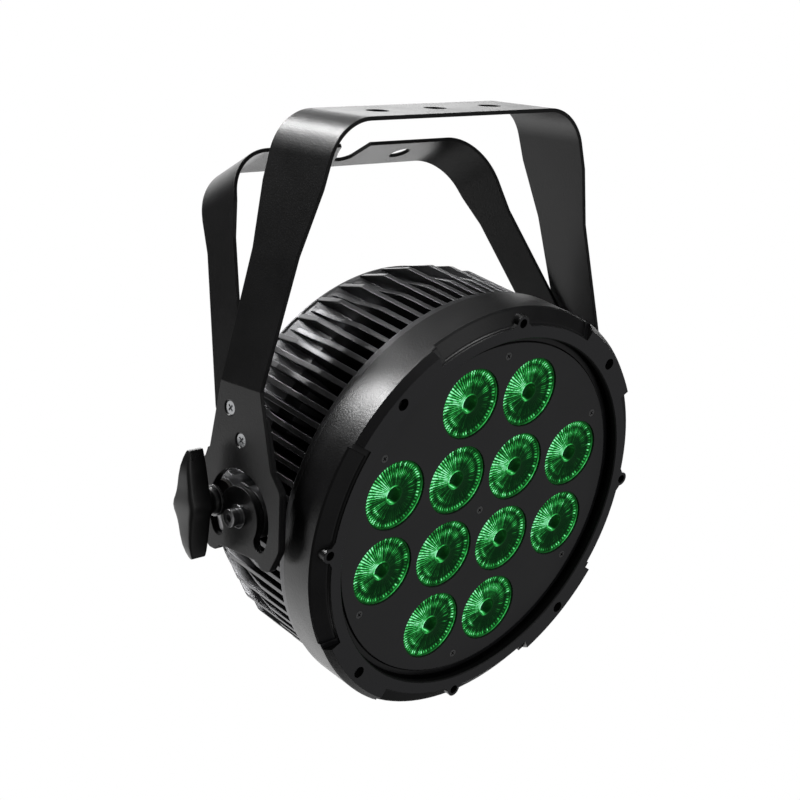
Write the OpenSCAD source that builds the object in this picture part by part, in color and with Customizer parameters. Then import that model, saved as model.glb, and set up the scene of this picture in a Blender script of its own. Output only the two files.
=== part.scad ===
// Par can stage light with twelve lenses, a finned cast head and a double hanging bracket.
// Millimetres. Origin at the middle hanging hole, in the top face of the front crossbar.
// +X to the right seen from the front, +Z up along the front bracket, +Y to the rear,
// so the lamp shines towards -Y. The node modules are drawn about the tilt axis and then hung.

/* [Head] */
// Distance between neighbouring lens centres
lens_pitch = 42; // [41:0.5:43]
// Radius of the openings in the face plate
lens_hole_r = 18.9; // [17:0.1:19.2]
// Number of long fins, with one short fin between each pair
fin_pairs = 44; // [24:1:48]
// Thickness of a fin at its outer edge
fin_tip_t = 2.8; // [1.5:0.1:3.2]
// Nose-down angle of the head at rest
rest_tilt = 9.76; // [-20:0.01:45]

/* [Bracket] */
// Width over the outside of the front bracket
bracket_w = 241; // [241:1:250]
// Height of the front crossbar above the tilt axis
front_h = 193.3; // [185:0.1:230]
// Height of the rear crossbar along its own arms
rear_h = 176.3; // [170:0.1:190]
// Angle between the front and the rear bracket
rear_lean = 27.94; // [20:0.01:32]
// Diameter of the hanging holes in the crossbars
hang_hole_d = 12; // [8:0.1:13]
// Distance from the middle hanging hole to the outer ones
hang_spacing = 39; // [30:0.5:45]
// Angle from straight up to each end of the tilt slot
slot_reach = 120; // [90:1:122]

/* [Knob] */
// Length of the wing knob
knob_len = 55.3; // [40:0.1:60]

/* [Hidden] */
$fn = 72;
eps = 0.01;
run = 0.05;
sheet_t = 2;
outer_x = bracket_w / 2;
seam_x = outer_x - sheet_t;
paint_gap = 0.02;
inner_x = seam_x - paint_gap - sheet_t;

// Distances forward of the face plate's front surface
plate_d = 47.1;
plate_t = 1.5;
deck_d = -20.6;
deck_t = 6;
rim_d = -92.4;
ledge_d = -86;
cover_front_d = -87;
cover_rear_d = -90;
panel_rear_d = -92;
board_t = 1.6;

plate_r = 92.4;
bezel_in_r = 96.6;
band_r = 111.7;
fin_r = 108.8;
chamber_r = 79;
wide_r = 90;
seat_r = 96.5;
boss_r = 3.9;
face_screw_r = 85.7;
cover_screw_r = 93.25;

lens_flange_r = 20.2;
holder_in_r = 18.9;

pivot_r = 3;
stud_r = 4;
stud_reach = 19.36;
slot_w = 8.9;
pad_x = inner_x - 2;
pad_t = 1.9;
washer_gap = 0.05;
washer_t = 1.5;
knob_in_x = outer_x + 7;
knob_t = 11;
knob_lean = 3;

front_slope = 16.76;
front_bend = 65.4;
front_corner = 26.8;
rear_slope = 14.91;
rear_bend = 54.6;
rear_corner = 29.8;
rear_mid = 15.6;

lens_spots = [for (a = [0:90:270], p = [[0.5, 0.5], [0.5, 1.5], [1.5, 0.5]])
    lens_pitch * [p[0] * cos(a) - p[1] * sin(a), p[0] * sin(a) + p[1] * cos(a)]];
face_spots = concat([[0, 0]], [for (a = [30:60:330]) face_screw_r * [cos(a), sin(a)]]);
bracket_screw_spots = [[-8.2, 52.8], [0.7, 38.4]];
supply_spots = [for (x = [-45, 45], y = [-52, -12]) [x, y]];
driver_spots = [for (x = [-45, 45], y = [16, 52]) [x, y]];
control_spots = [for (x = [-37, 37], y = [28, 52]) [x, y]];
panel_screw_spots = [for (x = [-45, 45], y = [20, 60]) [x, y]];
button_x = [-30, -10, 10, 30];
button_y = 31;
window_at = [0, 47];
data_in_at = [-34, -4];
data_out_at = [34, -4];
power_in_at = [-34, -46];
power_out_at = [34, -46];
fuse_at = [0, -50];
vent_at = [0, -12];
loop_at = [0, -78];
loop_half = 9;
cable_at = [0, 42];

// ---- helpers ----

function unit(v) = v / norm(v);
function wrap(a) = a > 180 ? a - 360 : a < -180 ? a + 360 : a;
function arc(c, r, a0, a1, n) = [for (i = [0:n]) c + r * [cos(a0 + (a1 - a0) * i / n),
    sin(a0 + (a1 - a0) * i / n)]];

// Points of an arc of radius r that replaces the corner q between p and s
function fillet(p, q, s, r, n) =
    let (a = unit(p - q), b = unit(s - q), half = acos(a * b) / 2)
    let (c = q + unit(a + b) * r / sin(half), reach = r / tan(half))
    let (u = q + a * reach - c, v = q + b * reach - c)
    let (a0 = atan2(u[1], u[0]), turn = wrap(atan2(v[1], v[0]) - a0))
    arc(c, r, a0, a0 + turn, n);

// Closed outline with each corner given as [x, y, radius]
function rounded(pts, n = 6) = [for (i = [0:len(pts) - 1])
    let (q = pts[i], k = len(pts), p = pts[(i + k - 1) % k], s = pts[(i + 1) % k])
    each (q[2] == 0 ? [[q[0], q[1]]]
        : fillet([p[0], p[1]], [q[0], q[1]], [s[0], s[1]], q[2], n))];

function rounded_box(w, h, r) = rounded([[w / 2, h / 2, r], [-w / 2, h / 2, r],
    [-w / 2, -h / 2, r], [w / 2, -h / 2, r]]);

// One surface of a bent strap seen from the front, from the right foot over to the left foot
function ridge(w, foot, bend, top, slope, r) =
    let (cx = w - tan(slope) * (top - bend) - r * tan((90 - slope) / 2), cy = top - r)
    concat([[w, foot], [w, bend]], arc([cx, cy], r, slope, 90, 24),
        arc([-cx, cy], r, 90, 180 - slope, 24), [[-w, bend], [-w, foot]]);

function reversed(pts) = [for (i = [len(pts) - 1:-1:0]) pts[i]];

// Bent strap seen from the front
module strap(w, foot, bend, top, slope, r) {
    inner_bend = bend - sheet_t * tan(slope / 2);
    polygon(concat(ridge(w, foot, bend, top, slope, r),
        reversed(ridge(w - sheet_t, foot, inner_bend, top - sheet_t, slope, r - sheet_t))));
}

// Flat outline drawn as [forward, up], pushed through the whole width
module from_side(half) {
    rotate([90, 0, -90])
        translate([0, 0, -half])
            linear_extrude(2 * half)
                children();
}

module from_front(half) {
    rotate([90, 0, 0])
        translate([0, 0, -half])
            linear_extrude(2 * half)
                children();
}

// Moves a piece drawn about the tilt axis to the frame of the hanging hole
module hung() {
    translate([0, 0, -front_h])
        children();
}

module both_sides() {
    children();
    mirror([1, 0, 0])
        children();
}

// Rod along +X from x0 to x1, forward and up of the tilt axis
module rod_x(r, x0, x1, at = [0, 0]) {
    translate([x0, -at[0], at[1]])
        rotate([0, 90, 0])
            cylinder(h = x1 - x0, r = r);
}

// Head frame: x right, y up, z forward of the face plate
module in_head() {
    rotate([90 + rest_tilt, 0, 0])
        translate([0, 0, plate_d])
            children();
}

// Frame of the tilting head with the usual axes
module tilted() {
    rotate([rest_tilt, 0, 0])
        children();
}

module leaning() {
    rotate([-rear_lean, 0, 0])
        children();
}

// Rod or disc in the head frame from depth d0 forward to d1
module pin(r, d0, d1, at = [0, 0]) {
    translate([at[0], at[1], d0])
        cylinder(h = d1 - d0, r = r);
}

module hex_nut(r, d0, d1, at = [0, 0]) {
    translate([at[0], at[1], d0])
        cylinder(h = d1 - d0, r = r, $fn = 6);
}

module slab(w, h, r, d0, d1, at = [0, 0]) {
    translate([at[0], at[1], d0])
        linear_extrude(d1 - d0)
            polygon(rounded_box(w, h, r));
}

// Cross recess in the top of a screw head, in the direction of dir (1 forward, -1 to the rear)
module cross_cut(at, top_d, size, dir) {
    depth = size * 0.4;
    for (turn = [45, 135])
        translate([at[0], at[1], top_d - dir * depth / 2])
            rotate([0, 0, turn])
                cube([size, size * 0.22, depth + eps], center = true);
}

// ---- brackets ----

function foot_plate(rear_x, rear_y) = rounded([[-16.9, 128.5, 0], [-15.4, 65.4, 0],
    [-rear_x, rear_y, 6], [-31.9, 19.4, 6], [-31.8, -10, 9], [-24.4, -22.4, 4],
    [-18.5, -22.5, 1.5], [-14.7, -18.9, 1.5], [14.7, -18.9, 1.5], [18.5, -22.5, 1.5],
    [24.4, -22.4, 4], [31.8, -10, 9], [31.9, 19.4, 6], [24.4, 28.1, 6],
    [15.4, 65.4, 0], [16.9, 128.5, 0]]);

// Curved slot around the tilt axis, for the knob studs
module tilt_slot(x0, x1) {
    translate([x0, 0, 0])
        rotate([0, 90, 0])
            rotate([0, 0, 180 - slot_reach])
                rotate_extrude(angle = 2 * slot_reach)
                    translate([stud_reach - slot_w / 2, 0])
                        square([slot_w, x1 - x0]);
    for (a = [-slot_reach, slot_reach])
        rod_x(slot_w / 2 - 0.02, x0, x1, stud_reach * [sin(a), cos(a)]);
}

module plate_cuts(x0, x1) {
    rod_x(4.55, x0, x1);
    tilt_slot(x0, x1);
}

module front_bracket() {
    color("#17171a") hung()
        difference() {
            intersection() {
                from_front(60)
                    strap(outer_x, -40, front_bend, front_h, front_slope, front_corner);
                from_side(160)
                    union() {
                        polygon(foot_plate(24.4, 28.1));
                        polygon([[-16.9, 128.4], [16.9, 128.4], [22.1, 160], [22.5, 175],
                            [22.5, 300], [-22.5, 300], [-22.5, 175], [-22.1, 160]]);
                    }
            }
            both_sides() {
                plate_cuts(seam_x - 1, outer_x + 1);
                for (at = bracket_screw_spots)
                    translate([seam_x, -at[0], at[1]])
                        rotate([0, 90, 0])
                            cylinder(h = sheet_t, r1 = 2.1, r2 = 4.1);
            }
            for (x = [-hang_spacing, 0, hang_spacing])
                translate([x, 0, front_h - 10])
                    cylinder(h = 20, d = hang_hole_d);
        }
}

// Hook opening cut from the front edge of the rear crossbar
module hook_notch() {
    translate([0, -rear_mid + 0.8, rear_h - 10])
        union() {
            cylinder(h = 20, r = 5.9);
            linear_extrude(20)
                polygon([[5.9, 0], [5.9, -20], [-16.5, -20], [-9.7, -6.1], [-5.9, 0]]);
        }
}

module rear_bracket() {
    color("#161619") hung()
        difference() {
            leaning()
                difference() {
                    intersection() {
                        from_front(90)
                            strap(seam_x - paint_gap, -60, rear_bend, rear_h, rear_slope, rear_corner);
                        from_side(160)
                            union() {
                                intersection() {
                                    rotate(-rear_lean)
                                        polygon(foot_plate(27.8, 29.2));
                                    translate([-60, -60])
                                        square([120, 98]);
                                }
                                translate([rear_mid, 0])
                                    polygon([[-11.9, 20], [11.9, 20], [11.9, 132],
                                        [14.9, 150], [15.1, 154], [15.1, 300], [-15.1, 300],
                                        [-15.1, 154], [-14.9, 150], [-11.9, 132]]);
                            }
                    }
                    hook_notch();
                    for (x = [-hang_spacing, hang_spacing])
                        translate([x, -rear_mid, rear_h - 10])
                            cylinder(h = 20, d = hang_hole_d);
                }
            both_sides() {
                plate_cuts(inner_x - 1, seam_x + 1);
                for (at = bracket_screw_spots)
                    rod_x(2.1, inner_x - 1, seam_x + 1, at);
            }
        }
}

// Countersunk screws that join the two brackets
module bracket_screws() {
    color("silver") hung()
        both_sides()
            for (at = bracket_screw_spots)
                difference() {
                    union() {
                        translate([seam_x, -at[0], at[1]])
                            rotate([0, 90, 0])
                                cylinder(h = sheet_t - 0.6, r1 = 2.1, r2 = 3.5);
                        rod_x(1.95, inner_x - 4.5, seam_x + eps, at);
                    }
                    for (turn = [45, 135])
                        translate([outer_x - 1, -at[0], at[1]])
                            rotate([turn, 0, 0])
                                cube([1, 4, 0.9], center = true);
                }
}

module bracket_nuts() {
    color("silver") hung()
        both_sides()
            for (at = bracket_screw_spots)
                difference() {
                    translate([inner_x - 3.2, -at[0], at[1]])
                        rotate([0, 90, 0])
                            cylinder(h = 3.2, r = 3.8, $fn = 6);
                    rod_x(2, inner_x - 4, inner_x + 1, at);
                }
}

// ---- tilt joint and clamps ----

module pivot_bushings() {
    color("#3a3a3c") hung()
        both_sides()
            difference() {
                union() {
                    rod_x(4.5, inner_x, outer_x + eps);
                    rod_x(6, outer_x, outer_x + 0.9);
                }
                rod_x(pivot_r + run, inner_x - 1, outer_x + 2);
            }
}

module pivot_bolts() {
    color("#222226") hung()
        tilted()
            both_sides()
                difference() {
                    union() {
                        rod_x(pivot_r, 92, outer_x + 2);
                        rod_x(4.5, outer_x + 0.95, outer_x + 5.9);
                    }
                    translate([outer_x + 3.4, 0, 0])
                        rotate([0, 90, 0])
                            cylinder(h = 4, r = 2.3, $fn = 6);
                }
}

// Rounded pad around the pivot bolt and the knob stud
module pad_shape(x0, x1, grow) {
    union() {
        rod_x(13 + grow, x0, x1);
        rod_x(10 + grow, x0, x1, [-stud_reach, 0]);
        translate([x0, 0, -9 - grow])
            cube([x1 - x0, stud_reach, 18 + 2 * grow]);
    }
}

module friction_pads() {
    color("#26221e") hung()
        tilted()
            both_sides()
                difference() {
                    pad_shape(pad_x, pad_x + pad_t, -0.5);
                    rod_x(pivot_r + run, pad_x - 1, pad_x + 3);
                    rod_x(stud_r + run, pad_x - 1, pad_x + 3, [-stud_reach, 0]);
                }
}

module clamp_washer_right() {
    color("#2a2a2d") hung()
        tilted()
            difference() {
                rod_x(8, outer_x + washer_gap, outer_x + washer_gap + washer_t,
                    [-stud_reach, 0]);
                rod_x(stud_r + run, outer_x - 1, outer_x + 3, [-stud_reach, 0]);
            }
}

module clamp_washer_left() {
    mirror([1, 0, 0])
        clamp_washer_right();
}

module wing() {
    half = knob_len / 2;
    quarter = [[half, 1.5, 0.9], [half - 4, 3.4, 4], [10, 5.8, 8], [4, 6.9, 3], [0, 9, 5]];
    polygon(rounded(concat(
        quarter,
        [for (i = [3:-1:0]) [-quarter[i][0], quarter[i][1], quarter[i][2]]],
        [for (i = [0:4]) [-quarter[i][0], -quarter[i][1], quarter[i][2]]],
        [for (i = [3:-1:0]) [quarter[i][0], -quarter[i][1], quarter[i][2]]])));
}

module clamp_knob_right() {
    neck_x = outer_x + washer_gap + washer_t + run;
    color("#141416") hung()
        difference() {
            union() {
                tilted()
                    rod_x(6.5, neck_x, knob_in_x + eps, [-stud_reach, 0]);
                tilted()
                    translate([knob_in_x, stud_reach, 0])
                        rotate([-knob_lean - rest_tilt, 0, 0])
                            rotate([90, 0, 90])
                                rotate([0, 0, 90])
                                    linear_extrude(knob_t)
                                        wing();
            }
            tilted()
                rod_x(stud_r, neck_x - 1, knob_in_x + 4, [-stud_reach, 0]);
        }
}

module clamp_knob_left() {
    mirror([1, 0, 0])
        clamp_knob_right();
}

module knob_stud_right() {
    color("#8c8c90") hung()
        tilted()
            rod_x(stud_r, 102, knob_in_x + 4, [-stud_reach, 0]);
}

module knob_stud_left() {
    mirror([1, 0, 0])
        knob_stud_right();
}

// ---- head castings ----

module fins(first, profile) {
    intersection() {
        rotate_extrude()
            polygon(profile);
        translate([0, 0, rim_d - 1])
            linear_extrude(-rim_d)
                for (i = [0:fin_pairs - 1])
                    rotate(first + i * 360 / fin_pairs)
                        polygon([[82, -1.9], [120, -fin_tip_t / 2 + 0.15],
                            [120, fin_tip_t / 2 - 0.15], [82, 1.9]]);
    }
}

module housing_core() {
    rotate_extrude()
        polygon([[0, deck_d], [fin_r + 2, deck_d], [fin_r + 2, deck_d - 4], [86, deck_d - 8],
            [84, deck_d - 12], [84, -46], [97, -55], [100.8, -63], [101, -90.5],
            [101.6, -91.6], [101.6, rim_d], [seat_r, rim_d], [seat_r, ledge_d],
            [wide_r, ledge_d], [wide_r, -62], [chamber_r, -54], [chamber_r, deck_d - deck_t],
            [0, deck_d - deck_t]]);
}

module side_pads() {
    rotate([-90, 0, 0])
        translate([0, plate_d, 0])
            both_sides()
                pad_shape(82, pad_x, 0);
}

module housing() {
    color("#1c1c1f") hung()
        in_head()
            difference() {
                union() {
                    housing_core();
                    fins(90, [[83, deck_d - 2], [fin_r, deck_d - 2], [fin_r, -47.9],
                        [107.5, -55.4], [104.2, -69.3], [103.3, -77.7], [102.5, -84],
                        [100.9, -90], [99, -90], [96, -57], [83, -48]]);
                    fins(90 + 180 / fin_pairs, [[83, deck_d - 2], [fin_r, deck_d - 2],
                        [fin_r, -72.2], [101.6, -91.6], [99, -91.6], [96, -57],
                        [83, -48]]);
                    intersection() {
                        side_pads();
                        difference() {
                            translate([-150, -50, rim_d])
                                cube([300, 100, -rim_d + deck_d - 1]);
                            translate([0, 0, -60])
                                cylinder(h = 40, r = 82);
                            translate([0, 0, rim_d])
                                cylinder(h = 42, r = 93);
                        }
                    }
                }
                rotate_extrude()
                    translate([97.2, deck_d - 1.2])
                        square([2, 2]);
                for (a = [0:45:315])
                    rotate(a)
                        pin(1.3, deck_d - 7, deck_d + 1, [bezel_screw_r(a), 0]);
                for (at = face_spots)
                    pin(1.6, deck_d - 4, deck_d + 1, at);
                for (a = [22.5:45:337.5])
                    rotate(a)
                        pin(1.3, ledge_d - 1, ledge_d + 9, [cover_screw_r, 0]);
                for (at = concat(supply_spots, driver_spots))
                    pin(1.6, deck_d - deck_t - 1, deck_d - deck_t + 4, at);
                pin(5, deck_d - deck_t - 1, deck_d + 1, cable_at);
                rotate([-90, 0, 0])
                    translate([0, plate_d, 0])
                        both_sides() {
                            rod_x(pivot_r + run, 90, 130);
                            rod_x(stud_r + run, 100, 130, [-stud_reach, 0]);
                        }
            }
}

// The screws at 45 degrees sit in the raised corners, the others in the cut-back rim
function bezel_screw_r(a) = a % 90 == 45 ? 103.7 : 105.2;
function bezel_head_r(a) = a % 90 == 45 ? 2.8 : 2.1;

module bezel() {
    color("#1a1a1d") hung()
        in_head()
            difference() {
                union() {
                    difference() {
                        rotate_extrude()
                            polygon([[bezel_in_r, 4.9], [97.2, 5.5], [108.8, 5.5],
                                [111.1, 2.3], [band_r, 1.4], [band_r, deck_d],
                                [108.8, deck_d], [108.8, -1], [100, -1], [100, deck_d],
                                [bezel_in_r, deck_d], [bezel_in_r, -9], [89.5, -9],
                                [89.5, -6.5], [92.9, -6.5], [92.9, -0.9], [93.2, -0.6],
                                [95.7, -0.6], [95.7, -6.5], [97.8, -6.5], [97.8, 2.2],
                                [bezel_in_r, 2.2]]);
                        for (a = [-30:90:240])
                            rotate([0, 0, a]) {
                                rotate_extrude(angle = 60)
                                    polygon([[103.2, 4.7], [103.2, 9], [115, 9],
                                        [115, 0.9], [110.6, 0.9], [103.6, 4.3]]);
                                rotate([0, 0, 1.6])
                                    rotate_extrude(angle = 56.8)
                                        polygon([[103.5, 5.4], [103.5, 9], [115, 9],
                                            [115, -1.3], [111.6, -1.3], [111, -0.4],
                                            [104.6, 3.2], [103.9, 3.4]]);
                            }
                    }
                    for (a = [0:45:315])
                        rotate(a)
                            pin(boss_r, deck_d, a % 90 == 0 ? 5.5 : 0,
                                [bezel_screw_r(a), 0]);
                    for (a = [0:90:270])
                        rotate(a)
                            linear_extrude(5.5)
                                polygon([[101, -8], [103.4, -6.2], [105, -boss_r + 0.1],
                                    [105, boss_r - 0.1], [103.4, 6.2], [101, 8]]);
                }
                for (a = [0:45:315])
                    rotate(a) {
                        pin(1.7, deck_d - 1, 9, [bezel_screw_r(a), 0]);
                        pin(bezel_head_r(a) + 0.3, -0.5, 9, [bezel_screw_r(a), 0]);
                    }
            }
}

module bezel_screws() {
    color("#2b2b2e") hung()
        in_head()
            for (a = [0:45:315])
                rotate(a)
                    difference() {
                        union() {
                            pin(1.25, deck_d - 6, 0, [bezel_screw_r(a), 0]);
                            pin(bezel_head_r(a), -0.5, 1.7, [bezel_screw_r(a), 0]);
                        }
                        cross_cut([bezel_screw_r(a), 0], 1.7, 3.2, 1);
                    }
}

module bezel_gasket() {
    color("#0d0d0d") hung()
        in_head()
            rotate_extrude()
                translate([97.2, deck_d - 1.2])
                    square([2, 1.2]);
}

// ---- face and optics ----

module face_plate() {
    color("#1b1b1e") hung()
        in_head()
            difference() {
                pin(plate_r, -plate_t, 0);
                for (at = lens_spots)
                    pin(lens_hole_r, -5, 5, at);
                for (at = face_spots) {
                    pin(1.5, -5, 5, at);
                    translate([at[0], at[1], -1])
                        cylinder(h = 1, r1 = 1.3, r2 = 2.3);
                }
            }
}

module face_screws() {
    color("#3a3a3d") hung()
        in_head()
            for (at = face_spots)
                difference() {
                    union() {
                        pin(1.25, -9, -0.5, at);
                        translate([at[0], at[1], -1])
                            cylinder(h = 0.95, r1 = 1.25, r2 = 2.2);
                    }
                    cross_cut(at, -0.05, 2.6, 1);
                }
}

// Threaded posts that carry the face plate
module face_posts() {
    color("#8a8a8d") hung()
        in_head()
            for (at = face_spots)
                difference() {
                    union() {
                        pin(2.3, deck_d, -plate_t, at);
                        pin(1.5, deck_d - 3.5, deck_d + 1, at);
                    }
                    pin(1.3, -12, 0, at);
                }
}

module lenses() {
    color("#3f7d5a") hung()
        in_head()
            for (at = lens_spots)
                translate([at[0], at[1], 0])
                    rotate_extrude()
                        polygon([[4.6, -1.4], [17.8, -1.4], [18.2, -0.7], [18.6, -0.7],
                            [18.6, -1.5], [lens_flange_r, -1.5], [lens_flange_r, -3],
                            [18.4, -3], [8, -15.8], [4.8, -15.8], [4.8, -12.6],
                            [0, -12.6], [0, -9], [4.6, -9]]);
}

module lens_holders() {
    color("#101012") hung()
        in_head()
            for (at = lens_spots)
                translate([at[0], at[1], 0])
                    rotate_extrude()
                        polygon([[holder_in_r, -3], [lens_flange_r, -3],
                            [lens_flange_r, deck_d + board_t], [5.6, deck_d + board_t],
                            [5.6, -15.8], [8.4, -15.8], [8.4, -17], [holder_in_r, -17]]);
}

module led_board() {
    color("#e6e6e2") hung()
        in_head()
            difference() {
                pin(88.8, deck_d, deck_d + board_t);
                for (at = face_spots)
                    pin(2.6, deck_d - 1, 0, at);
                pin(4, deck_d - 1, 0, cable_at);
            }
}

module led_chips() {
    color("#d9c94a") hung()
        in_head()
            for (at = lens_spots) {
                slab(7, 7, 0.5, deck_d + board_t, deck_d + board_t + 1, at);
                pin(2.6, deck_d + board_t + 1 - eps, deck_d + board_t + 2.6, at);
            }
}

module led_cable() {
    color("#202020") hung()
        in_head() {
            pin(3, deck_d - 12, deck_d + board_t + 1, cable_at);
            slab(12, 6.4, 1, deck_d + board_t + 0.5, deck_d + board_t + 6, cable_at);
        }
}

module cable_grommet() {
    color("#0e0e0e") hung()
        in_head()
            difference() {
                union() {
                    pin(5, deck_d - deck_t - eps, deck_d, cable_at);
                    pin(7, deck_d - deck_t - 1.5, deck_d - deck_t, cable_at);
                }
                pin(3, deck_d - 12, deck_d + 1, cable_at);
            }
}

// ---- boards behind the deck ----

board_d = deck_d - deck_t - 6;

module board_posts() {
    color("#b08d3c") hung()
        in_head()
            for (at = concat(supply_spots, driver_spots))
                difference() {
                    union() {
                        pin(2.6, board_d, deck_d - deck_t, at);
                        pin(1.5, deck_d - deck_t - eps, deck_d - deck_t + 3.5, at);
                    }
                    pin(1.3, board_d - 1, board_d + 4.5, at);
                }
}

module board_screws() {
    color("silver") hung()
        in_head() {
            for (at = concat(supply_spots, driver_spots)) {
                pin(1.25, board_d - board_t - eps, board_d + 4, at);
                pin(2.6, board_d - board_t - 1.6, board_d - board_t, at);
            }
            for (at = control_spots) {
                pin(1, -86, -80 + eps, at);
                pin(2.2, -80, -78.6, at);
            }
        }
}

module supply_board() {
    color("#1f4d33") hung()
        in_head()
            difference() {
                slab(100, 48, 3, board_d - board_t, board_d, [0, -32]);
                for (at = supply_spots)
                    pin(1.6, board_d - 5, board_d + 5, at);
            }
}

module supply_transformer() {
    color("#c9a227") hung()
        in_head() {
            slab(26, 30, 1, board_d - board_t - 20, board_d - board_t, [-10, -32]);
            slab(32, 20, 1, board_d - board_t - 17, board_d - board_t - 3, [-10, -32]);
        }
}

module supply_capacitors() {
    color("#2b2f6b") hung()
        in_head()
            for (at = [[20, -42], [20, -22]])
                pin(8, board_d - board_t - 22, board_d - board_t, at);
}

module driver_board() {
    color("#1f4d33") hung()
        in_head()
            difference() {
                slab(100, 44, 3, board_d - board_t, board_d, [0, 34]);
                for (at = driver_spots)
                    pin(1.6, board_d - 5, board_d + 5, at);
            }
}

module driver_coils() {
    color("#55503f") hung()
        in_head()
            for (x = [-30:20:30])
                slab(12, 12, 1.5, board_d - board_t - 8, board_d - board_t, [x, 44]);
}

module driver_chips() {
    color("#1a1a1a") hung()
        in_head()
            for (x = [-30:20:30])
                slab(10, 8, 0.4, board_d - board_t - 3, board_d - board_t, [x, 24]);
}

// ---- rear cover and its fittings ----

module rear_gasket() {
    color("#0d0d0d") hung()
        in_head()
            difference() {
                pin(seat_r - 0.2, cover_front_d, ledge_d);
                pin(wide_r, cover_front_d - 1, ledge_d + 1);
                for (a = [22.5:45:337.5])
                    rotate(a)
                        pin(1.7, cover_front_d - 1, ledge_d + 1, [cover_screw_r, 0]);
            }
}

module rear_cover() {
    color("#1c1c1f") hung()
        in_head()
            difference() {
                pin(seat_r - 0.3, cover_rear_d, cover_front_d);
                for (a = [22.5:45:337.5])
                    rotate(a)
                        pin(1.7, cover_rear_d - 1, cover_front_d + 1, [cover_screw_r, 0]);
                slab(84, 36, 3, cover_rear_d - 1, cover_front_d + 1, [0, 40]);
                for (at = panel_screw_spots)
                    pin(1.3, cover_rear_d - 1, cover_front_d + 1, at);
                for (at = [data_in_at, data_out_at, power_in_at, power_out_at])
                    pin(11.8, cover_rear_d - 1, cover_front_d + 1, at);
                for (at = connector_screw_spots())
                    pin(1.3, cover_rear_d - 1, cover_front_d + 1, at);
                slab(8.4, 5.4, 1, cover_rear_d - 1, cover_front_d + 1,
                    data_out_at + [0, 13]);
                pin(6.7, cover_rear_d - 1, cover_front_d + 1, fuse_at);
                pin(5.1, cover_rear_d - 1, cover_front_d + 1, vent_at);
                for (s = [-1, 1])
                    pin(3.1, cover_rear_d - 1, cover_front_d + 1, loop_at + [s * loop_half, 0]);
            }
}

module rear_cover_screws() {
    color("#2b2b2e") hung()
        in_head()
            for (a = [22.5:45:337.5])
                rotate(a)
                    difference() {
                        union() {
                            pin(1.25, cover_rear_d - eps, ledge_d + 8, [cover_screw_r, 0]);
                            pin(2.8, cover_rear_d - 1.8, cover_rear_d, [cover_screw_r, 0]);
                        }
                        cross_cut([cover_screw_r, 0], cover_rear_d - 1.8, 3.4, -1);
                    }
}

module control_panel() {
    color("#151517") hung()
        in_head()
            difference() {
                union() {
                    slab(98, 48, 5, panel_rear_d, cover_rear_d, [0, 40]);
                    for (at = control_spots)
                        pin(2.4, cover_rear_d - eps, -81.6, at);
                }
                slab(36, 14, 1, panel_rear_d - 1, cover_rear_d + 1, window_at);
                for (x = button_x)
                    pin(4 + run, panel_rear_d - 1, cover_rear_d + 1, [x, button_y]);
                for (at = panel_screw_spots)
                    pin(1.7, panel_rear_d - 1, cover_rear_d + 1, at);
                for (at = control_spots)
                    pin(1.05, -87, -81, at);
            }
}

// Screws of the control panel and of the four sockets
module panel_screws() {
    color("#2b2b2e") hung()
        in_head() {
            for (at = panel_screw_spots)
                panel_screw(at, panel_rear_d);
            for (at = connector_screw_spots())
                panel_screw(at, cover_rear_d - 2.4);
        }
}

module panel_screw(at, seat_d) {
    difference() {
        union() {
            pin(1.25, seat_d - eps, cover_front_d, at);
            pin(2.5, seat_d - 1.5, seat_d, at);
        }
        cross_cut(at, seat_d - 1.5, 3.2, -1);
    }
}

module display_window() {
    color("#30363a") hung()
        in_head()
            slab(36, 14, 1, panel_rear_d, cover_rear_d, window_at);
}

module display_module() {
    color("#2a2d33") hung()
        in_head()
            slab(34, 12, 0.5, -89.6, -81.6, window_at);
}

module control_board() {
    color("#1f4d33") hung()
        in_head()
            difference() {
                slab(80, 32, 2, -81.6, -80, [0, 40]);
                for (at = control_spots)
                    pin(1.2, -83, -79, at);
            }
}

module tact_switches() {
    color("#3a3a3a") hung()
        in_head()
            for (x = button_x) {
                slab(6, 6, 0.5, -84, -81.6, [x, button_y]);
                pin(1.8, -85.3, -84 + eps, [x, button_y]);
            }
}

// Push button with a shoulder behind the panel
module button(i) {
    color("#d0d0d2") hung()
        in_head() {
            pin(4, -93.8, -89, [button_x[i], button_y]);
            pin(5, -89.7, -88.6, [button_x[i], button_y]);
            pin(2.5, -88.7, -86.3, [button_x[i], button_y]);
        }
}

module button_menu() {
    button(0);
}

module button_down() {
    button(1);
}

module button_up() {
    button(2);
}

module button_enter() {
    button(3);
}

function connector_screw_spots() = [for (at = [data_in_at, data_out_at, power_in_at,
    power_out_at], s = [-1, 1]) at + [s * 9.5, s * 12]];

// Flange and barrel shared by the four round panel sockets
module socket_shell(at, bore, bore_d) {
    difference() {
        union() {
            slab(26, 31, 3, cover_rear_d - 2.4, cover_rear_d, at);
            pin(11.5, cover_rear_d - eps, -68, at);
        }
        pin(bore, cover_rear_d - 3, bore_d, at);
        for (s = [-1, 1])
            pin(1.7, cover_rear_d - 3, cover_rear_d + 0.5, at + [s * 9.5, s * 12]);
    }
}

module data_in_socket() {
    color("#2c2c30") hung()
        in_head()
            difference() {
                socket_shell(data_in_at, 9.4, -76);
                for (at = pin_spots(data_in_at))
                    pin(1.2, -77, -71, at);
            }
}

function pin_spots(at) = [for (a = [30, 150, 270]) at + 4.6 * [cos(a), sin(a)]];

module data_in_pins() {
    color("#c8b27a") hung()
        in_head()
            for (at = pin_spots(data_in_at))
                pin(1.2, -88, -72, at);
}

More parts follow.
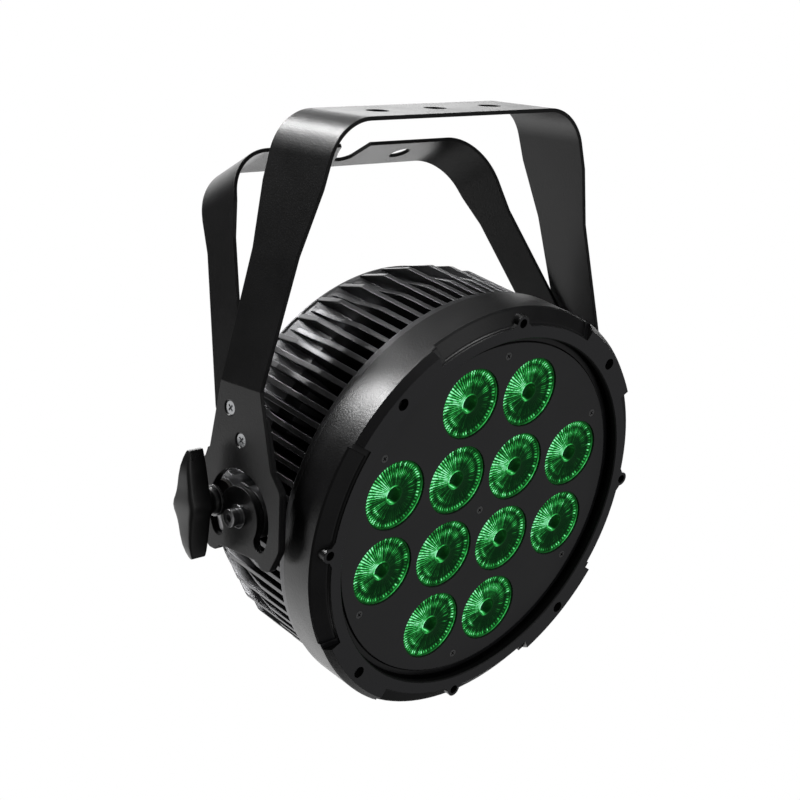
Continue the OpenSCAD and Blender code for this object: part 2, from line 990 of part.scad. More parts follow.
module data_out_socket() {
    color("#2c2c30") hung()
        in_head()
            difference() {
                socket_shell(data_out_at, 9.4, -72);
                slab(7.9 + 2 * run, 4.9 + 2 * run, 1, cover_rear_d - 3, cover_rear_d + 10,
                    data_out_at + [0, 13]);
            }
}

module data_out_insert() {
    color("#18181a") hung()
        in_head()
            difference() {
                pin(9.4, -90, -72, data_out_at);
                for (at = pin_spots(data_out_at))
                    pin(1.4, -91, -78, at);
            }
}

// Release tab of the locking socket
module data_out_latch() {
    color("#b9b9bc") hung()
        in_head()
            slab(7.9, 4.9, 1, cover_rear_d - 5, cover_rear_d + 1.5, data_out_at + [0, 13]);
}

module power_inlet() {
    color("#27435e") hung()
        in_head() {
            socket_shell(power_in_at, 9.6, -72);
            pin(5, -86, -72 + eps, power_in_at);
        }
}

module power_outlet() {
    color("#55585c") hung()
        in_head() {
            socket_shell(power_out_at, 9.6, -72);
            pin(5, -86, -72 + eps, power_out_at);
        }
}

module fuse_holder() {
    color("#1d1d20") hung()
        in_head()
            difference() {
                union() {
                    pin(9, cover_rear_d - 2, cover_rear_d, fuse_at);
                    pin(6.5, cover_rear_d - eps, -60, fuse_at);
                }
                pin(4.5 + run, cover_rear_d - 3, -83, fuse_at);
                pin(2.7, -84, -62, fuse_at);
            }
}

module fuse_cap() {
    color("#232326") hung()
        in_head()
            difference() {
                union() {
                    pin(7.4, cover_rear_d - 6, cover_rear_d - 2 - run, fuse_at);
                    pin(4.5, cover_rear_d - 3, -83.4, fuse_at);
                }
                translate([fuse_at[0], fuse_at[1], cover_rear_d - 6])
                    cube([8, 1.4, 2.4], center = true);
            }
}

module fuse_link() {
    color("#d8dcdc") hung()
        in_head()
            pin(2.6, -83.2, -63.2, fuse_at);
}

module vent_plug() {
    color("#202023") hung()
        in_head() {
            hex_nut(8, cover_rear_d - 3, cover_rear_d, vent_at);
            pin(5, cover_rear_d - eps, cover_front_d + 4, vent_at);
        }
}

module safety_loop() {
    color("#9b9b9e") hung()
        in_head() {
            for (s = [-1, 1])
                pin(3, cover_rear_d - 10, cover_front_d + 6, loop_at + [s * loop_half, 0]);
            translate([loop_at[0], loop_at[1], cover_rear_d - 10 + eps])
                rotate([-90, 0, 0])
                    rotate_extrude(angle = 180)
                        translate([loop_half, 0])
                            circle(r = 3);
        }
}

module safety_loop_nuts() {
    color("#8c8c90") hung()
        in_head()
            for (s = [-1, 1])
                difference() {
                    hex_nut(5.5, cover_front_d, cover_front_d + 4, loop_at + [s * loop_half, 0]);
                    pin(3.05, cover_front_d - 1, cover_front_d + 6,
                        loop_at + [s * loop_half, 0]);
                }
}

front_bracket();
rear_bracket();
bracket_screws();
bracket_nuts();
pivot_bushings();
pivot_bolts();
friction_pads();
clamp_washer_left();
clamp_washer_right();
clamp_knob_left();
clamp_knob_right();
knob_stud_left();
knob_stud_right();
housing();
bezel();
bezel_screws();
bezel_gasket();
face_plate();
face_screws();
face_posts();
lenses();
lens_holders();
led_board();
led_chips();
led_cable();
cable_grommet();
board_posts();
board_screws();
supply_board();
supply_transformer();
supply_capacitors();
driver_board();
driver_coils();
driver_chips();
rear_cover();
rear_cover_screws();
rear_gasket();
control_panel();
panel_screws();
display_window();
display_module();
control_board();
tact_switches();
button_menu();
button_down();
button_up();
button_enter();
data_in_socket();
data_in_pins();
data_out_socket();
data_out_insert();
data_out_latch();
power_inlet();
power_outlet();
fuse_holder();
fuse_cap();
fuse_link();
vent_plug();
safety_loop();
safety_loop_nuts();
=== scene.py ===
import math
import random

import bmesh
import bpy
import numpy as np
from mathutils import Matrix, Vector


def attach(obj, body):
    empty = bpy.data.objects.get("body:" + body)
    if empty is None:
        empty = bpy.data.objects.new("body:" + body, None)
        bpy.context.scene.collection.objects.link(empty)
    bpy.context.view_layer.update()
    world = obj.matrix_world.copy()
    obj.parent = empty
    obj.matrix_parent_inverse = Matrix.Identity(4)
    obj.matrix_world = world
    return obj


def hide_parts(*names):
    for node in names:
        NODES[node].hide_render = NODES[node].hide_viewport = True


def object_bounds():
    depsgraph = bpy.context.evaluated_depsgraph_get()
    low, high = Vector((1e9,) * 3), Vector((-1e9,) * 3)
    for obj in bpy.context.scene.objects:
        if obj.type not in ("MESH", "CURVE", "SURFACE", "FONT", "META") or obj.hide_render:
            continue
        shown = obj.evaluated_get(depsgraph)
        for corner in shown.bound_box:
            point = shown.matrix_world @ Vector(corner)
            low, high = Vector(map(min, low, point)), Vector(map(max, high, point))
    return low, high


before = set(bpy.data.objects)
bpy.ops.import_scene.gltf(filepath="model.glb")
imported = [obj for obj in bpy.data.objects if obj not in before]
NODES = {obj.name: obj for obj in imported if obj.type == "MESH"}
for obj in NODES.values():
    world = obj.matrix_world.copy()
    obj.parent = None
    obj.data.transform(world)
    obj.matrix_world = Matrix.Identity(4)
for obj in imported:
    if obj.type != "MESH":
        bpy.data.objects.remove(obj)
CAD_BOX = [list(c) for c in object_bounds()]
random.seed(11)

MM = 0.001
TILT = math.radians(9.76)
LEAN = math.radians(27.94)
PLATE = 47.1
AXIS_Z = -0.1933


# ---------------------------------------------------------------- frames

def head_matrix():
    """Head frame in mm (x right, y up, z forward of the face plate) to the row frame in m."""
    return (Matrix.Translation((0, 0, AXIS_Z)) @ Matrix.Rotation(math.pi / 2 + TILT, 4, "X")
            @ Matrix.Translation((0, 0, PLATE * MM)) @ Matrix.Scale(MM, 4))


HEAD = head_matrix()


# ---------------------------------------------------------------- materials

def new_material(name):
    m = bpy.data.materials.new(name)
    m.use_nodes = True
    nt = m.node_tree
    nt.nodes.clear()
    out = nt.nodes.new("ShaderNodeOutputMaterial")
    bsdf = nt.nodes.new("ShaderNodeBsdfPrincipled")
    nt.links.new(bsdf.outputs[0], out.inputs[0])
    return m, nt, bsdf


def coords(nt, scale=1.0):
    tex = nt.nodes.new("ShaderNodeTexCoord")
    mp = nt.nodes.new("ShaderNodeMapping")
    mp.inputs["Scale"].default_value = (scale, scale, scale)
    nt.links.new(tex.outputs["Object"], mp.inputs[0])
    return mp.outputs[0]


def noise(nt, co, scale, detail=4.0, rough=0.55):
    n = nt.nodes.new("ShaderNodeTexNoise")
    n.inputs["Scale"].default_value = scale
    n.inputs["Detail"].default_value = detail
    n.inputs["Roughness"].default_value = rough
    nt.links.new(co, n.inputs["Vector"])
    return n.outputs["Fac"]


def ramp(nt, fac, lo, hi, p0=0.3, p1=0.7):
    r = nt.nodes.new("ShaderNodeMapRange")
    r.inputs["From Min"].default_value = p0
    r.inputs["From Max"].default_value = p1
    r.inputs["To Min"].default_value = lo
    r.inputs["To Max"].default_value = hi
    nt.links.new(fac, r.inputs["Value"])
    return r.outputs[0]


def mix_color(nt, fac, a, b):
    m = nt.nodes.new("ShaderNodeMix")
    m.data_type = "RGBA"
    nt.links.new(fac, m.inputs["Factor"])
    m.inputs["A"].default_value = (*a, 1)
    m.inputs["B"].default_value = (*b, 1)
    return m.outputs["Result"]


def rounded_normal(nt, radius):
    b = nt.nodes.new("ShaderNodeBevel")
    b.samples = 6
    b.inputs["Radius"].default_value = radius
    return b.outputs[0]


def matt_face(nt, bsdf, color):
    """Turns the faces that look straight forward into the same matt grey as the face plate."""
    tex = nt.nodes.new("ShaderNodeTexCoord")
    dot = nt.nodes.new("ShaderNodeVectorMath")
    dot.operation = "DOT_PRODUCT"
    dot.inputs[1].default_value = (0, -math.cos(TILT), -math.sin(TILT))
    nt.links.new(tex.outputs["Normal"], dot.inputs[0])
    deep = nt.nodes.new("ShaderNodeVectorMath")
    deep.operation = "DOT_PRODUCT"
    deep.inputs[1].default_value = dot.inputs[1].default_value
    nt.links.new(tex.outputs["Object"], deep.inputs[0])
    face = -AXIS_Z * math.sin(TILT) + PLATE * MM
    flat = nt.nodes.new("ShaderNodeMath")
    flat.operation = "MULTIPLY"
    nt.links.new(ramp(nt, dot.outputs["Value"], 0.0, 1.0, 0.96, 0.99), flat.inputs[0])
    nt.links.new(ramp(nt, deep.outputs["Value"], 0.0, 1.0, face + 0.0048, face + 0.0052),
                 flat.inputs[1])
    front = flat.outputs[0]
    for socket, matt in (("Roughness", 0.6), ("Base Color", 0.030)):
        link = bsdf.inputs[socket].links[0]
        old = link.from_socket
        mix = nt.nodes.new("ShaderNodeMix")
        kind = "RGBA" if socket == "Base Color" else "FLOAT"
        mix.data_type = kind
        a, b = [i for i in mix.inputs if i.enabled and i.name in "AB"]
        nt.links.new(front, mix.inputs["Factor"])
        nt.links.new(old, a)
        b.default_value = (matt, matt, matt * 1.05, 1) if kind == "RGBA" else matt
        nt.links.new([o for o in mix.outputs if o.enabled][0], bsdf.inputs[socket])
    nt.links.new(ramp(nt, front, 0.7, 0.3, 0.0, 1.0), bsdf.inputs["Specular IOR Level"])


def surface(name, color, rough, grain=900.0, bump=0.1, vary=0.25, metallic=0.0, edge=0.0004,
            spread=0.08, coat=0.0, spec=0.5, blotch=28.0, matt_front=False):
    """Fine grain, slow blotches in colour and gloss, and softened edges."""
    m, nt, bsdf = new_material(name)
    co = coords(nt)
    fine = noise(nt, co, grain, 3.0, 0.6)
    slow = noise(nt, co, blotch, 5.0, 0.6)
    dark = tuple(c * (1 - vary) for c in color)
    light = tuple(min(1, c * (1 + vary)) for c in color)
    nt.links.new(mix_color(nt, ramp(nt, slow, 0, 1), dark, light), bsdf.inputs["Base Color"])
    nt.links.new(ramp(nt, slow, rough - spread, rough + spread), bsdf.inputs["Roughness"])
    bsdf.inputs["Metallic"].default_value = metallic
    bsdf.inputs["Specular IOR Level"].default_value = spec
    if matt_front:
        matt_face(nt, bsdf, color)
    if coat:
        bsdf.inputs["Coat Weight"].default_value = coat
        bsdf.inputs["Coat Roughness"].default_value = 0.2
    b = nt.nodes.new("ShaderNodeBump")
    b.inputs["Strength"].default_value = bump
    b.inputs["Distance"].default_value = 0.0002
    nt.links.new(fine, b.inputs["Height"])
    if edge:
        nt.links.new(rounded_normal(nt, edge), b.inputs["Normal"])
    nt.links.new(b.outputs[0], bsdf.inputs["Normal"])
    return m


MATS = {
    "powder": surface("powder_coat_black", (0.0035, 0.0035, 0.0038), 0.31, 1300, 0.58, 0.2,
                      edge=0.0007, spec=0.5, spread=0.03),
    "cast": surface("cast_black", (0.005, 0.005, 0.0055), 0.31, 900, 0.42, 0.3, edge=0.0003,
                    spread=0.035, spec=0.65, blotch=45, matt_front=True),
    "fins": surface("cast_fins", (0.13, 0.13, 0.134), 0.37, 1100, 0.35, 0.2, metallic=1.0,
                    edge=0.0009, spread=0.03, blotch=60),
    "face": surface("face_matt", (0.030, 0.030, 0.031), 0.6, 1500, 0.10, 0.08, edge=0.0004,
                    spec=0.3),
    "zinc": surface("zinc_bright", (0.52, 0.53, 0.54), 0.24, 700, 0.08, 0.12, metallic=1.0,
                    edge=0.0002),
    "dark_steel": surface("steel_black", (0.26, 0.26, 0.265), 0.19, 700, 0.1, 0.3,
                          metallic=0.9, edge=0.0005, spec=0.9),
    "screw_dark": surface("screw_black", (0.016, 0.016, 0.017), 0.34, 700, 0.1, 0.3,
                          edge=0.0003, spec=0.9),
    "screw_face": surface("screw_face_black", (0.055, 0.055, 0.056), 0.36, 700, 0.1, 0.3,
                          edge=0.0003, spec=0.8),
    "fibre": surface("friction_fibre", (0.03, 0.026, 0.022), 0.8, 1200, 0.4),
    "knob": surface("knob_plastic", (0.004, 0.004, 0.0042), 0.34, 1300, 0.15, 0.15, edge=0.0006,
                    spec=0.95),
    "plastic": surface("black_plastic", (0.014, 0.014, 0.015), 0.4, 1300, 0.2, 0.25),
    "rubber": surface("black_rubber", (0.008, 0.008, 0.008), 0.75, 900, 0.3),
    "brass": surface("brass_turned", (0.55, 0.40, 0.16), 0.28, 700, 0.08, metallic=1.0),
    "board_w": surface("board_white", (0.10, 0.10, 0.10), 0.45, 600, 0.06, 0.05),
    "board_g": surface("board_green", (0.018, 0.10, 0.05), 0.35, 600, 0.1, 0.2),
    "yellow": surface("tape_yellow", (0.55, 0.36, 0.03), 0.4, 600, 0.1),
    "blue": surface("sleeve_blue", (0.02, 0.03, 0.16), 0.3, 600, 0.05),
    "ferrite": surface("ferrite", (0.05, 0.048, 0.045), 0.6, 900, 0.2),
    "chip": surface("chip_phosphor", (0.70, 0.60, 0.16), 0.25, 500, 0.03, 0.1),
    "button": surface("button_grey", (0.42, 0.42, 0.43), 0.4, 900, 0.15, 0.08),
    "conn_blue": surface("connector_blue", (0.02, 0.07, 0.16), 0.4, 900, 0.15, 0.15),
    "conn_grey": surface("connector_grey", (0.16, 0.17, 0.18), 0.42, 900, 0.15, 0.1),
    "window": surface("window_smoked", (0.010, 0.012, 0.013), 0.08, 300, 0.02, 0.2,
                      edge=0.0002, spread=0.03),
    "glass": surface("fuse_glass", (0.55, 0.58, 0.58), 0.1, 300, 0.02, 0.05, spread=0.02),
}


def green_lens():
    """Green optic: its painted highlights and painted shade are green emission driven by the painted
    light value stored on its points.
    """
    m, nt, bsdf = new_material("lens_green")
    painted_light = nt.nodes.new("ShaderNodeAttribute")
    painted_light.attribute_name = "painted_light"
    co = coords(nt)
    # fine grain breaks up the painted light; a colour ramp turns it into green emission, from painted
    # shade to painted highlight
    fine = noise(nt, co, 520, 4.0, 0.7)
    mul = nt.nodes.new("ShaderNodeMath")
    mul.operation = "MULTIPLY"
    nt.links.new(painted_light.outputs["Fac"], mul.inputs[0])
    nt.links.new(ramp(nt, fine, 0.62, 1.42, 0.35, 0.65), mul.inputs[1])
    cr = nt.nodes.new("ShaderNodeValToRGB")
    el = cr.color_ramp.elements
    el[0].position, el[0].color = 0.0, (0.0006, 0.004, 0.001, 1)
    el[1].position, el[1].color = 1.0, (0.34, 0.95, 0.54, 1)
    for pos, col in ((0.14, (0.0025, 0.024, 0.004)), (0.34, (0.010, 0.15, 0.024)),
                     (0.58, (0.030, 0.38, 0.070)), (0.80, (0.060, 0.60, 0.13))):
        e = el.new(pos)
        e.color = (*col, 1)
    nt.links.new(mul.outputs[0], cr.inputs[0])
    nt.links.new(cr.outputs[0], bsdf.inputs["Emission Color"])
    bsdf.inputs["Emission Strength"].default_value = 1.1
    bsdf.inputs["Base Color"].default_value = (0.004, 0.030, 0.008, 1)
    bsdf.inputs["Metallic"].default_value = 0.0
    bsdf.inputs["Specular IOR Level"].default_value = 0.12
    nt.links.new(ramp(nt, fine, 0.16, 0.30), bsdf.inputs["Roughness"])
    bsdf.inputs["Specular Tint"].default_value = (0.2, 1.0, 0.4, 1)
    return m


MATS["lens"] = green_lens()

NODE_MATS = {
    "powder": "front_bracket rear_bracket rear_cover",
    "cast": "bezel",
    "fins": "housing",
    "face": "face_plate",
    "zinc": "bracket_screws bracket_nuts knob_stud_left knob_stud_right face_posts board_screws "
            "data_out_latch safety_loop safety_loop_nuts",
    "dark_steel": "pivot_bushings pivot_bolts clamp_washer_left clamp_washer_right",
    "screw_dark": "bezel_screws rear_cover_screws panel_screws",
    "screw_face": "face_screws",
    "fibre": "friction_pads",
    "knob": "clamp_knob_left clamp_knob_right",
    "plastic": "lens_holders driver_chips control_panel display_module tact_switches "
               "data_in_socket data_out_socket data_out_insert fuse_holder fuse_cap vent_plug",
    "rubber": "bezel_gasket led_cable cable_grommet rear_gasket",
    "brass": "board_posts data_in_pins",
    "board_w": "led_board",
    "board_g": "supply_board driver_board control_board",
    "yellow": "supply_transformer",
    "blue": "supply_capacitors",
    "ferrite": "driver_coils",
    "chip": "led_chips",
    "button": "button_menu button_down button_up button_enter",
    "conn_blue": "power_inlet",
    "conn_grey": "power_outlet",
    "window": "display_window",
    "glass": "fuse_link",
    "lens": "lenses",
}
for mat, names in NODE_MATS.items():
    for n in names.split():
        NODES[n].data.materials.clear()
        NODES[n].data.materials.append(MATS[mat])


# ---------------------------------------------------------------- mesh helpers

def add_mesh(name, verts, faces, mat, body, matrix=None, smooth=True, angle=35, painted_light=None):
    me = bpy.data.meshes.new(name)
    me.from_pydata([tuple(v) for v in verts], [], faces)
    # optional painted light value on each point, shown as painted highlights and painted shade by the
    # lens material
    if painted_light is not None:
        att = me.attributes.new("painted_light", "FLOAT", "POINT")
        att.data.foreach_set("value", np.asarray(painted_light, dtype=np.float32))
    me.materials.append(MATS[mat])
    o = bpy.data.objects.new(name, me)
    bpy.context.scene.collection.objects.link(o)
    if matrix is not None:
        me.transform(matrix)
    bm = bmesh.new()
    bm.from_mesh(me)
    bmesh.ops.recalc_face_normals(bm, faces=bm.faces)
    bm.to_mesh(me)
    bm.free()
    me.update()
    if smooth:
        me.polygons.foreach_set("use_smooth", [True] * len(me.polygons))
        me.set_sharp_from_angle(angle=math.radians(angle))
    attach(o, body)
    return o


class Build:
    """Collects points and faces in millimetres."""

    def __init__(self):
        self.v = []
        self.f = []

    def grid(self, rows, close_u=False, close_v=False):
        base = len(self.v)
        nr, nc = len(rows), len(rows[0])
        for r in rows:
            self.v.extend(r)
        for i in range(nr if close_u else nr - 1):
            for j in range(nc if close_v else nc - 1):
                a = base + i * nc + j
                b = base + i * nc + (j + 1) % nc
                c = base + ((i + 1) % nr) * nc + (j + 1) % nc
                d = base + ((i + 1) % nr) * nc + j
                self.f.append((a, b, c, d))

    def fan(self, loop, tip):
        base = len(self.v)
        self.v.extend(loop)
        self.v.append(tip)
        n = len(loop)
        for j in range(n):
            self.f.append((base + j, base + (j + 1) % n, base + n))


# ---------------------------------------------------------------- lenses

RIBS = 60
SPOTS = [(x, y) for x in (-63, -21, 21, 63) for y in (-63, -21, 21, 63)
         if abs(x) + abs(y) < 100]
# radius, depth, rib height, bead height
LENS_ROWS = [(2.4, -12.6, 0, 0), (4.8, -12.6, 0, 0), (4.8, -15.8, 0, 0), (8.0, -15.8, 0, 0),
             (18.4, -3.0, 0, 0), (20.1, -3.0, 0, 0), (20.1, -1.55, 0, 0), (18.76, -1.55, 0, 0),
             (18.72, -1.25, 0, 0), (18.55, -1.0, 0, 0), (18.1, -0.95, 0, 0),
             (17.85, -1.2, 0, 0), (17.7, -1.75, 0, 0), (17.4, -1.75, 0, 0.25),
             (17.05, -1.7, 0, 0.42), (16.7, -1.8, 0, 0.25), (16.4, -1.95, 0, 0),
             (16.1, -2.0, 0.05, 0.1), (15.8, -1.9, 0.1, 0.25), (15.45, -1.85, 0.12, 0.3),
             (15.1, -1.9, 0.16, 0.2), (14.8, -2.05, 0.2, 0), (14.2, -2.1, 0.3, 0),
             (13.4, -1.95, 0.34, 0), (12.7, -1.75, 0.34, 0), (12.2, -1.6, 0.3, 0),
             (11.7, -1.75, 0.3, 0), (10.8, -1.8, 0.3, 0), (9.8, -1.65, 0.28, 0),
             (8.8, -1.5, 0.25, 0), (7.8, -1.38, 0.2, 0), (6.9, -1.25, 0.16, 0),
             (6.1, -1.15, 0.1, 0), (5.5, -1.05, 0.04, 0), (5.1, -0.9, 0, 0), (4.8, -0.85, 0, 0),
             (4.6, -1.0, 0, 0), (4.5, -1.6, 0, 0), (4.35, -3.0, 0, 0), (4.25, -4.6, 0, 0),
             (3.9, -5.2, 0, 0), (2.6, -5.3, 0, 0), (1.2, -5.35, 0, 0)]
LENS_BACK = (0, 0, -12.6)
LENS_WELL = (0, 0, -5.35)


def bell(deg, mid, width):
    d = (deg - mid + 180) % 360 - 180
    return math.exp(-(d / width) ** 2)


def near(r, mid, width):
    return math.exp(-((r - mid) / width) ** 2)


def paint_lens_light(r, deg, crest, spark):
    """Painted light at a point of the optic, from painted shade to painted highlight: a painted
    highlight fan at the upper left with painted glints and bright rings, painted shade in a sector at
    the lower right, in a ring groove and in the grooves between the ribs, a painted highlight on the
    rim at the lower right, and a painted dark well with painted highlights round its mouth.
    """
    fan = bell(deg, 158, 24) * (1 if 4.7 < r < 17.6 else 0)
    wide = bell(deg, 158, 60)
    g = 0.17 + 0.18 * wide + 0.34 * fan + 0.95 * fan * near(r, 6.2, 2.2)
    g += 0.40 * near(r, 16.9, 0.55) * (0.3 + 0.7 * spark) - 0.12 * near(r, 9.1, 0.5)
    g += 0.80 * fan * near(r, 15.2, 2.2) * spark + 0.45 * wide * near(r, 9.5, 2.5) * spark
    g += 0.38 * bell(deg, 90, 50) * near(r, 11.8, 1.8)
    g += 0.70 * bell(deg, 222, 17) * near(r, 12.6, 0.7)
    g += 0.62 * bell(deg, 215, 50) * near(r, 16.3, 1.3) * spark
    g += 0.58 * bell(deg, 65, 75) * near(r, 16.2, 1.2) * spark
    g += 0.34 * bell(deg, 15, 50) * near(r, 11.3, 2.0) * spark
    g += 0.34 * (spark - 0.5)
    if 5.2 < r < 15.5:
        g -= 0.28 * bell(deg, -35, 75) * (1 - 0.5 * near(r, 14.0, 2.0))
    g -= 0.14 * near(r, 14.6, 0.35)
    if 5.3 < r < 17.7:
        g *= 0.12 + 1.02 * crest ** 1.4
    if r > 17.8:
        g = 0.16 + 0.46 * bell(deg, -32, 36) * (1 if 18.0 < r < 18.6 else 0.2)
    if 4.55 <= r <= 5.15:
        g = 0.14 + 0.80 * bell(deg, 165, 45) + 0.40 * bell(deg, 98, 24) + 0.40 * bell(deg, 262, 24)
    if r < 4.55:
        g = 0.02 + 0.16 * bell(deg, 20, 50) * (r / 4.5) ** 2
        if r > 4.2:
            g += 0.45 * bell(deg, 95, 20) + 0.70 * bell(deg, 265, 18)
    return max(0.0, min(1.0, 1.2 * max(0.0, g) ** 1.2))


def build_lenses():
    """Twelve closed ribbed optics: rings from the back centre out, over the rim and into the well."""
    verts, faces, painted_light = [], [], []
    steps = RIBS * 6
    for cx, cy in SPOTS:
        # random strength of the painted glints on each rib, for the inner and the outer zone
        spark = [random.uniform(0.15, 1.0) for _ in range(RIBS)]
        spark2 = [random.uniform(0.15, 1.0) for _ in range(RIBS)]
        turn = random.uniform(-8, 8)
        base = len(verts)
        for r, d, rib, bead in LENS_ROWS:
            for j in range(steps):
                deg = 360 * j / steps
                crest = 0.5 + 0.5 * math.cos(2 * math.pi * j / 6)
                k = (j + 3) // 6 % RIBS
                sp = spark[k] if r < 14 else spark2[k]
                a = math.radians(deg)
                verts.append((cx + r * math.cos(a), cy + r * math.sin(a),
                              d + rib * crest + bead * crest ** 2))
                # the back and the outer wall get a low painted light value; the front gets painted
                # highlights and painted shade
                painted_light.append(0.03 if d < -5.5 or r > 18.73
                            else paint_lens_light(r, (deg - turn) % 360, crest, sp))
        verts.extend([(cx, cy, LENS_BACK[2]), (cx, cy, LENS_WELL[2])])
        painted_light.extend([0.03, 0.08])
        rings = len(LENS_ROWS)
        last = base + (rings - 1) * steps
        for j in range(steps):
            k = (j + 1) % steps
            faces.append((base + k, base + j, base + rings * steps))
            faces.append((last + j, last + k, base + rings * steps + 1))
            for r in range(rings - 1):
                a = base + r * steps
                faces.append((a + j, a + k, a + k + steps, a + j + steps))
    return verts, faces, painted_light


lens_verts, lens_faces, lens_painted_light = build_lenses()
optics = add_mesh("lens_optics", lens_verts, lens_faces, "lens", "head", HEAD,
                  angle=60, painted_light=lens_painted_light)
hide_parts("lenses")


# ---------------------------------------------------------------- wing knobs

# along the wing, half width, outer rise
WING = [(-27.6, 0.7, 0.2), (-27.2, 1.3, 0.6), (-26.2, 1.9, 0.85), (-24.0, 2.8, 0.95),
        (-20, 3.9, 1.0), (-15, 5.0, 1.02), (-10, 5.9, 1.06), (-7, 6.5, 1.12), (-4.5, 7.4, 1.2),
        (-2.4, 8.4, 1.27), (0, 8.9, 1.3), (2.4, 8.4, 1.27), (4.5, 7.4, 1.2), (7, 6.5, 1.12),
        (10, 5.9, 1.06), (15, 5.0, 1.02), (20, 3.9, 1.0), (24.0, 2.8, 0.95), (26.6, 1.9, 0.9),
        (27.3, 1.6, 0.8), (27.6, 1.2, 0.6)]


def knob_matrix(side):
    lean = math.radians(3)
    place = Matrix.Rotation(TILT, 4, "X") @ Matrix.Translation((0, 19.36 * MM, 0))
    spin = Matrix.Rotation(-lean - TILT, 4, "X")
    flip = Matrix.Scale(side, 4, (1, 0, 0))
    return (flip @ Matrix.Translation((0, 0, AXIS_Z)) @ place @ spin @ Matrix.Scale(MM, 4))


def spow(v, e):
    return math.copysign(abs(v) ** e, v)


def build_knob(side, body, node):
    b = Build()
    rows = []
    n = 40
    for u, half, rise in WING:
        x0 = 127.5 + 0.4 * (abs(u) / 27) ** 2
        x1 = 139.4 + rise * math.exp(-(u / 9) ** 2) - 3.4 * (max(0, abs(u) - 15) / 12.6) ** 2
        mid, depth = (x0 + x1) / 2, (x1 - x0) / 2
        row = []
        for j in range(n):
            a = 2 * math.pi * j / n
            c, s2 = math.cos(a), math.sin(a)
            x = mid + depth * spow(s2, 0.22)
            w = half * spow(c, 0.30) * (1 - 0.04 * (1 + s2) / 2)
            row.append((x, w, u))
        rows.append(row)
    b.grid(rows, close_v=True)
    b.fan(list(reversed(rows[0])), (134, 0, WING[0][0] - 0.1))
    b.fan(rows[-1], (134, 0, WING[-1][0] + 0.1))
    neck = [(122.1, 3.05), (122.1, 6.6), (122.3, 6.9), (123.3, 7.0), (123.6, 6.7), (123.8, 6.4),
            (124.6, 6.3), (125.6, 6.4), (126.4, 6.8), (127.2, 7.5), (127.9, 8.4), (128.6, 8.4)]
    ring = []
    for x, r in neck:
        ring.append([(x, r * math.cos(2 * math.pi * j / 64), r * math.sin(2 * math.pi * j / 64))
                     for j in range(64)])
    b.grid(ring, close_v=True)
    if side < 0:
        b.f = [tuple(reversed(f)) for f in b.f]
    piece = add_mesh("wing_" + node, b.v, b.f, "knob", body, knob_matrix(side),
                     angle=50)
    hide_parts(node)


build_knob(1, "knob_right", "clamp_knob_right")
build_knob(-1, "knob_left", "clamp_knob_left")


# ---------------------------------------------------------------- stage

def camera_white(nt, out, shader, white=1.0):
    """The camera sees plain white; the light on the object comes from the shader given."""
    lp = nt.nodes.new("ShaderNodeLightPath")
    em = nt.nodes.new("ShaderNodeEmission")
    em.inputs[0].default_value = (1, 1, 1, 1)
    em.inputs[1].default_value = white
    mix = nt.nodes.new("ShaderNodeMixShader")
    nt.links.new(lp.outputs["Is Camera Ray"], mix.inputs[0])
    nt.links.new(shader, mix.inputs[1])
    nt.links.new(em.outputs[0], mix.inputs[2])
    nt.links.new(mix.outputs[0], out.inputs[0])


def floor():
    s = 4.0
    z = CAD_BOX[0][2] - 0.0015
    n = 24
    pts = [(s * (2 * i / n - 1), s * (2 * j / n - 1), z) for i in range(n + 1) for j in range(n + 1)]
    faces = [(i * (n + 1) + j, (i + 1) * (n + 1) + j, (i + 1) * (n + 1) + j + 1, i * (n + 1) + j + 1)
             for i in range(n) for j in range(n)]
    me = bpy.data.meshes.new("floor")
    me.from_pydata(pts, [], faces)
    o = bpy.data.objects.new("floor", me)
    bpy.context.scene.collection.objects.link(o)
    m, nt, bsdf = new_material("floor_pale")
    co = coords(nt)
    nt.links.new(mix_color(nt, ramp(nt, noise(nt, co, 2.0), 0, 1), (0.20, 0.20, 0.20),
                           (0.24, 0.24, 0.24)), bsdf.inputs["Base Color"])
    bsdf.inputs["Roughness"].default_value = 0.8
    out = [n for n in nt.nodes if n.type == "OUTPUT_MATERIAL"][0]
    camera_white(nt, out, bsdf.outputs[0])
    me.materials.append(m)
    o.visible_diffuse = o.visible_glossy = o.visible_shadow = False


def area(name, place, target, size, power, size_y=None, color=(1, 1, 1)):
    d = bpy.data.lights.new(name, "AREA")
    d.energy = power
    d.size = size
    d.color = color
    if size_y:
        d.shape = "RECTANGLE"
        d.size_y = size_y
    o = bpy.data.objects.new(name, d)
    o.location = place
    o.rotation_euler = (Vector(target) - Vector(place)).to_track_quat("-Z", "Y").to_euler()
    bpy.context.scene.collection.objects.link(o)
    return o


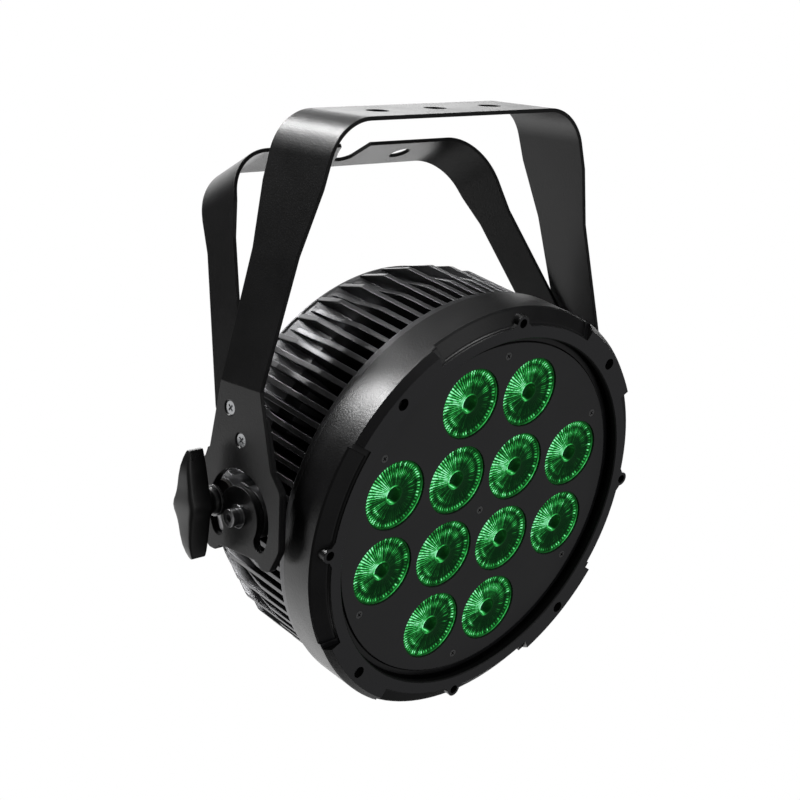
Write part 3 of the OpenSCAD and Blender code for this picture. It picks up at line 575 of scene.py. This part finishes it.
def studio():
    """World: white for the camera, soft boxes on a dim room for everything else."""
    world = bpy.data.worlds.new("studio")
    world.use_nodes = True
    nt = world.node_tree
    nt.nodes.clear()
    out = nt.nodes.new("ShaderNodeOutputWorld")
    tex = nt.nodes.new("ShaderNodeTexCoord")
    total = None
    # direction the light comes from, cosine where it starts, cosine where it is full, strength
    boxes = [((-0.05, 0.76, -0.66), 0.80, 0.98, 1.25), ((0.67, 0.61, -0.43), 0.955, 0.99, 1.8),
             ((-0.62, 0.74, -0.30), 0.965, 0.995, 0.75), ((0.66, 0.74, 0.10), 0.975, 0.995, 2.2),
             ((0.35, 0.92, 0.12), 0.90, 0.99, 1.3), ((0.36, 0.57, 0.74), 0.90, 0.99, 0.25),
             ((0.34, -0.90, 0.28), 0.93, 0.99, 0.5),
             ((-0.1, 0.2, 1), 0.60, 1.0, 0.35),
             ((0.55, -0.60, -0.55), 0.75, 1.0, 0.12), ((0, -1, 0.1), 0.5, 1.0, 0.10)]
    for way, lo, hi, power in boxes:
        dot = nt.nodes.new("ShaderNodeVectorMath")
        dot.operation = "DOT_PRODUCT"
        nt.links.new(tex.outputs["Generated"], dot.inputs[0])
        dot.inputs[1].default_value = Vector(way).normalized()
        band = ramp(nt, dot.outputs["Value"], 0.0, power, lo, hi)
        if total is None:
            total = band
        else:
            add = nt.nodes.new("ShaderNodeMath")
            add.operation = "ADD"
            nt.links.new(total, add.inputs[0])
            nt.links.new(band, add.inputs[1])
            total = add.outputs[0]
    base = nt.nodes.new("ShaderNodeMath")
    base.operation = "ADD"
    base.inputs[1].default_value = 0.05
    nt.links.new(total, base.inputs[0])
    bg = nt.nodes.new("ShaderNodeBackground")
    bg.inputs[0].default_value = (1, 1, 1, 1)
    nt.links.new(base.outputs[0], bg.inputs[1])
    camera_white(nt, out, bg.outputs[0])
    bpy.context.scene.world = world


floor()
studio()
area("key_left", (-0.64, 0.56, 0.76), (0, 0, -0.17), 0.22, 8, 0.26)
area("key_back", (-0.12, 1.05, 0.85), (0, 0, -0.10), 0.30, 9, 0.24)
area("top_box", (0.3, 0.1, 1.1), (0, 0, -0.2), 0.6, 3)
fill = area("fill_front", (0.5, -1.7, -0.1), (0, 0, -0.2), 0.8, 14)
fill.visible_glossy = False
area("rim_right", (1.1, 0.5, 0.3), (0, 0, -0.15), 0.3, 3, 0.9)
bpy.context.scene.view_settings.view_transform = "Standard"

cam_data = bpy.data.cameras.new("camera")
cam_data.sensor_width = 36
cam_data.lens = 76.55
cam_data.clip_end = 50
cam = bpy.data.objects.new("camera", cam_data)
RIGHT, UP, FWD = (0.7396, -0.6719, 0.0384), (0.1437, 0.2133, 0.9663), (0.6575, 0.7093, -0.2543)
cam.matrix_world = Matrix((
    (RIGHT[0], UP[0], -FWD[0], -0.5995),
    (RIGHT[1], UP[1], -FWD[1], -0.6292),
    (RIGHT[2], UP[2], -FWD[2], 0.0753),
    (0, 0, 0, 1)))
bpy.context.scene.collection.objects.link(cam)
bpy.context.scene.camera = cam
